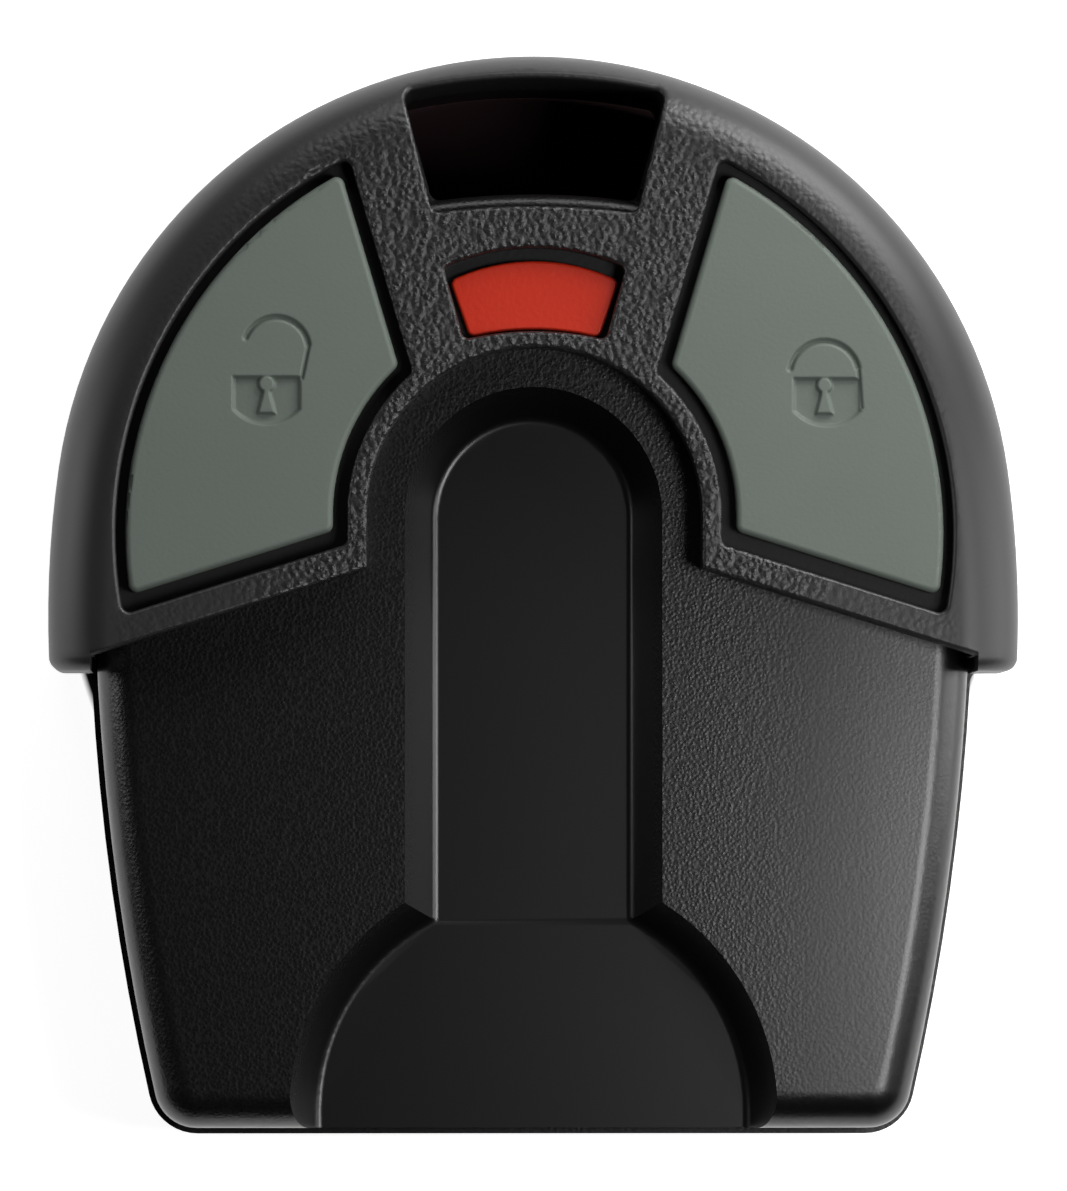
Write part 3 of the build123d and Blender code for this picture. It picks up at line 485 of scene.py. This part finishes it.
# Seals. Black silicone strips, pressed in a mould like the keys, that fill the pocket of the
# hood beside the large keys.
seal_silicone = silicone("black_silicone", ("#1a1a1a", "#202020"), roughness=0.6,
                         grain=0.2 * mm)
for seal in ("lock_seal", "unlock_seal"):
    dress(seal, "casing", seal_silicone)

# Circuit board. Glass and epoxy laminate under a green solder mask; the copper tracks show
# through it as lighter lines 0.3 mm wide.
track_width, track_length, track_pitch = 0.3 * mm, 7.0 * mm, 1.9 * mm
copper_height, weave_size, weave_depth = 0.035 * mm, 0.4 * mm, 0.01 * mm
board_paint, tree, output = new_material("green_masked_laminate")
place = add_node(tree, "ShaderNodeTexCoord")
square = add_node(tree, "ShaderNodeMapping", [("Vector", place.outputs["Object"])],
                  Rotation=(0, 0, math.radians(90)))
tracks = add_node(tree, "ShaderNodeTexBrick", [("Vector", square.outputs[0])],
                  offset=0.37, Scale=1.0, Mortar_Size=track_width / 2, Mortar_Smooth=0.1,
                  Brick_Width=track_length, Row_Height=track_pitch, Color1=linear("#0d4a2c"),
                  Color2=linear("#0f5030"), Mortar=linear("#2f7d4a"))
weave = add_node(tree, "ShaderNodeTexNoise", [("Vector", place.outputs["Object"])],
                 Scale=1 / weave_size, Detail=3.0)
swell = add_node(tree, "ShaderNodeBump", [("Height", tracks.outputs["Fac"])],
                 Strength=1.0, Distance=copper_height)
pores = add_node(tree, "ShaderNodeBump",
                 [("Height", weave.outputs["Fac"]), ("Normal", swell.outputs[0])],
                 Strength=1.0, Distance=weave_depth)
lacquer = add_node(tree, "ShaderNodeBsdfPrincipled",
                   [("Base Color", tracks.outputs["Color"]), ("Normal", pores.outputs[0])],
                   IOR=1.52, Roughness=0.28)
tree.links.new(lacquer.outputs[0], output.inputs["Surface"])
dress("circuit_board", "casing", board_paint)

# Push switches. A black nylon base, a nickel-plated steel cover folded over it and a black
# plunger that clicks a quarter of a millimetre.


def plated_steel(name, colours, roughness, grain, stretch=(1, 1, 1)):
    """Bright plated sheet: fine rolling lines that stretch along one axis, a little uneven
    in tone and in gloss, and a fiftieth as deep as they are wide."""
    line_depth, bright_gloss, dull_gloss = grain / 50, -0.06, 0.08
    made, tree, output = new_material(name)
    place = add_node(tree, "ShaderNodeTexCoord")
    drawn = add_node(tree, "ShaderNodeMapping", [("Vector", place.outputs["Object"])],
                     Scale=stretch)
    lines = add_node(tree, "ShaderNodeTexNoise", [("Vector", drawn.outputs[0])],
                     Scale=1 / grain, Detail=4.0, Roughness=0.6)
    tone = add_node(tree, "ShaderNodeMix", [("Factor", lines.outputs["Fac"])], data_type="RGBA")
    tone.inputs[6].default_value = linear(colours[0])
    tone.inputs[7].default_value = linear(colours[1])
    gloss = add_node(tree, "ShaderNodeMapRange", [("Value", lines.outputs["Fac"])],
                     To_Min=roughness + bright_gloss, To_Max=roughness + dull_gloss)
    bump = add_node(tree, "ShaderNodeBump", [("Height", lines.outputs["Fac"])],
                    Strength=1.0, Distance=line_depth)
    surface = add_node(tree, "ShaderNodeBsdfPrincipled",
                       [("Base Color", tone.outputs[2]), ("Roughness", gloss.outputs[0]),
                        ("Normal", bump.outputs[0])], Metallic=1.0)
    tree.links.new(surface.outputs[0], output.inputs["Surface"])
    return made


switch_nylon = grained_abs("moulded_nylon", ("#17181a", "#1d1e20"), cell=0.2 * mm,
                           depth=0.008 * mm, roughness=0.45, fine=0.5)
nickel = plated_steel("nickel_plated_steel", ("#c6c1b6", "#d6d2c8"), roughness=0.28,
                      grain=0.12 * mm, stretch=(1, 12, 1))
for key in ("lock", "unlock", "alarm"):
    dress(key + "_switch_base", "casing", switch_nylon)
    dress(key + "_switch_cover", "casing", nickel)
    dress(key + "_plunger", key + "_stem", switch_nylon)

# Coin cell and its contacts. The cell is a pressed stainless can with fine turning marks
# about its middle; the strap and the leaf are nickel-plated spring steel.
cell_low, cell_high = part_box("coin_cell")
turning_width, turning_depth = 0.15 * mm, 0.003 * mm
cell_paint, tree, output = new_material("turned_stainless_steel")
place = add_node(tree, "ShaderNodeTexCoord")
centred = add_node(tree, "ShaderNodeMapping", [("Vector", place.outputs["Object"])],
                   Location=(-(cell_low[0] + cell_high[0]) / 2,
                             -(cell_low[1] + cell_high[1]) / 2, 0), Scale=(1, 1, 0))
radius = add_node(tree, "ShaderNodeVectorMath", [(0, centred.outputs[0])], operation="LENGTH")
rings = add_node(tree, "ShaderNodeTexNoise", [("W", radius.outputs["Value"])],
                 noise_dimensions="1D", Scale=1 / turning_width, Detail=4.0)
gloss = add_node(tree, "ShaderNodeMapRange", [("Value", rings.outputs["Fac"])],
                 To_Min=0.18, To_Max=0.34)
turned = add_node(tree, "ShaderNodeBump", [("Height", rings.outputs["Fac"])],
                  Strength=1.0, Distance=turning_depth)
steel = add_node(tree, "ShaderNodeBsdfPrincipled",
                 [("Roughness", gloss.outputs[0]), ("Normal", turned.outputs[0])],
                 Base_Color=linear("#cfcdc6"), Metallic=1.0)
tree.links.new(steel.outputs[0], output.inputs["Surface"])
dress("coin_cell", "casing", cell_paint)
dress("positive_contact", "casing", nickel)
dress("negative_contact", "casing", nickel)

# Controller chip and transistor. Black moulded epoxy with tin-plated legs: the faces that
# lie outside the moulded block take the tin.
epoxy = grained_abs("moulded_epoxy", ("#1b1c1e", "#222325"), cell=0.1 * mm, depth=0.006 * mm,
                    roughness=0.5, fine=0.5)
tin = plated_steel("tin_plate", ("#b9b8b4", "#cbcac6"), roughness=0.34, grain=0.1 * mm)
chip_half_width = 1.96 * mm


def tin_legs(piece, block_half, middle):
    """Gives tin to each face whose centre is further from the middle line than the block."""
    mesh = piece.data
    centres = np.empty(len(mesh.polygons) * 3)
    mesh.polygons.foreach_get("center", centres)
    legs = np.abs(centres[0::3] - middle) > block_half
    mesh.materials.append(tin)
    mesh.polygons.foreach_set("material_index", legs.astype(np.int32))


chip_low, chip_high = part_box("controller_chip")
chip = dress("controller_chip", "casing", epoxy)
tin_legs(chip, chip_half_width, (chip_low[0] + chip_high[0]) / 2)
dress("transistor", "casing", epoxy)

# Resonator can and crystal. Both have a case drawn from steel sheet and plated with nickel,
# which leaves a satin surface.
can_nickel = plated_steel("drawn_nickel_case", ("#b8b5ac", "#c8c5bc"), roughness=0.32,
                          grain=0.18 * mm)
dress("resonator_can", "casing", can_nickel)
dress("crystal", "casing", can_nickel)

# Aerial loop. A stamped strip of tinned copper that stands on two legs over the right side
# of the board; the tin is thin, so it is a little warm in tone.
aerial_tin = plated_steel("tinned_copper", ("#c2a982", "#cfc0a4"), roughness=0.3,
                          grain=0.1 * mm, stretch=(1, 8, 8))
dress("aerial_loop", "casing", aerial_tin)

# Capacitors and resistors. Fired ceramic chips, sand-coloured or black, whose two ends are
# dipped in tin, so the finish changes half a millimetre from the middle of each row.
dip_blend = 0.04 * mm
ceramic_grit = 0.08 * mm


def dipped_chip(name, colour, node, end):
    """Ceramic between two tin ends: the distance from the row's middle picks the finish."""
    made, tree, output = new_material(name)
    low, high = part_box(node)
    middle = (low[1] + high[1]) / 2
    place = add_node(tree, "ShaderNodeTexCoord")
    parts = add_node(tree, "ShaderNodeSeparateXYZ", [(0, place.outputs["Object"])])
    off = add_node(tree, "ShaderNodeMath", [(0, parts.outputs[1])], operation="SUBTRACT")
    off.inputs[1].default_value = middle
    away_from = add_node(tree, "ShaderNodeMath", [(0, off.outputs[0])], operation="ABSOLUTE")
    dipped = add_node(tree, "ShaderNodeMapRange", [("Value", away_from.outputs[0])],
                      From_Min=end - dip_blend, From_Max=end + dip_blend)
    grit = add_node(tree, "ShaderNodeTexNoise", [("Vector", place.outputs["Object"])],
                    Scale=1 / ceramic_grit, Detail=3.0)
    bump = add_node(tree, "ShaderNodeBump", [("Height", grit.outputs["Fac"])],
                    Strength=1.0, Distance=ceramic_grit / 10)
    body = add_node(tree, "ShaderNodeBsdfPrincipled", [("Normal", bump.outputs[0])],
                    Base_Color=linear(colour), Roughness=0.4, IOR=1.6)
    cap = add_node(tree, "ShaderNodeBsdfPrincipled", [("Normal", bump.outputs[0])],
                   Base_Color=linear("#c4c3bf"), Roughness=0.35, Metallic=1.0)
    mixed = add_node(tree, "ShaderNodeMixShader",
                     [(0, dipped.outputs[0]), (1, body.outputs[0]), (2, cap.outputs[0])])
    tree.links.new(mixed.outputs[0], output.inputs["Surface"])
    return made


dress("capacitors", "casing",
      dipped_chip("sand_ceramic", "#a88a5e", "capacitors", 0.5 * mm))
dress("resistors", "casing",
      dipped_chip("black_glazed_ceramic", "#16171a", "resistors", 0.55 * mm))

# Screws. Thread-forming steel screws, black-zinc plated, with a pan head and a cross recess
# pressed into it. Their sizes are in millimetres; the thread has a pitch of 0.75 mm.
screw_paint = plated_steel("black_zinc_plate", ("#3a3b3f", "#505156"), roughness=0.34,
                           grain=0.1 * mm)
head_radius, head_edge, head_height = 1.6, 0.25, 1.0
cross_half, cross_reach, cross_depth, cross_wall = 0.24, 0.95, 0.5, 0.14
root_radius, crest_radius, thread_pitch, ridge_half = 0.62, 0.84, 0.75, 0.32
run_in, run_out, tip_length, tip_share = 0.6, 1.2, 0.9, 0.55
turn_points, face_rings, edge_rings, rings_in_pitch = 49, 22, 6, 9


def screw_points(centre_x, centre_y, low, high):
    """One screw as a grid over a run of rings and a full turn. The rings run from the middle
    of the head, out, round its edge and in to the shank, and on to the tip. The head's level
    drops by a soft step inside the cross, and the shank's radius is its root plus a ridge
    where the height, less the turn, is a whole number of pitches."""
    turn = np.linspace(0, 2 * math.pi, turn_points)[None, :]
    face = np.linspace(0, head_radius - head_edge, face_rings)[:, None]
    bend = np.linspace(0, math.pi / 2, edge_rings)[1:, None]
    edge_r = head_radius - head_edge + head_edge * np.sin(bend)
    edge_z = head_edge - head_edge * np.cos(bend)
    tip = (high - low) / mm
    shank = np.arange(head_height, tip - 0.001, thread_pitch / rings_in_pitch)[:, None]
    r = np.concatenate((face, edge_r, [[head_radius]], np.full_like(shank, root_radius), [[0.0]]))
    z = np.concatenate((face * 0, edge_z, [[head_height]], shank, [[tip]]))
    r, z = r + 0 * turn, z + 0 * turn
    across, up = np.abs(r * np.cos(turn)), np.abs(r * np.sin(turn))
    arms = np.minimum(np.maximum(across - cross_half, up - cross_reach),
                      np.maximum(up - cross_half, across - cross_reach))
    rows = len(face)
    z[:rows] += cross_depth * soft_step(-arms[:rows] / cross_wall)
    first = rows + len(bend) + 1
    run = z[first:-1]
    phase = (run / thread_pitch - turn / (2 * math.pi)) % 1
    ridge = np.clip(1 - np.abs(phase - 0.5) / ridge_half, 0, 1)
    ends = np.clip((run - head_height) / run_in, 0, 1) * np.clip((tip - run) / run_out, 0, 1)
    taper = tip_share + (1 - tip_share) * np.clip((tip - run) / tip_length, 0, 1)
    r[first:-1] = (root_radius + (crest_radius - root_radius) * ridge * ends) * taper
    x = centre_x / mm + r * np.cos(turn)
    y = centre_y / mm + r * np.sin(turn)
    return np.stack((x, y, low / mm + z), axis=-1) * mm


thread_angle = math.radians(40.0)


def screw_pair(node):
    """Both screws of one size in one mesh, mirrored about the middle line."""
    low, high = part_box(node)
    offset = high[0] - head_radius * mm
    middle = (low[1] + high[1]) / 2
    grids = [screw_points(side * offset, middle, low[2], high[2]) for side in (-1, 1)]
    rows, columns = grids[0].shape[:2]
    points = np.concatenate([grid.reshape(-1, 3) for grid in grids])
    index = np.arange(rows * columns).reshape(rows, columns)
    one = np.stack((index[:-1, :-1], index[1:, :-1], index[1:, 1:], index[:-1, 1:]), axis=-1)
    one = one.reshape(-1, 4)
    quads = np.concatenate((one, one + rows * columns))
    mesh = bpy.data.meshes.new(node + "_shown")
    mesh.from_pydata(points.tolist(), [], quads.tolist())
    shape = bmesh.new()
    shape.from_mesh(mesh)
    bmesh.ops.remove_doubles(shape, verts=shape.verts, dist=merge_reach)
    bmesh.ops.recalc_face_normals(shape, faces=shape.faces)
    for face in shape.faces:
        face.smooth = True
    for edge in shape.edges:
        edge.smooth = edge.calc_face_angle(0.0) < thread_angle
    shape.to_mesh(mesh)
    shape.free()
    pair = bpy.data.objects.new(node + "_shown", mesh)
    bpy.context.scene.collection.objects.link(pair)
    mesh.materials.append(screw_paint)
    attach(pair, "casing")
    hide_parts(node)


screw_pair("foot_screws")
screw_pair("hood_screws")
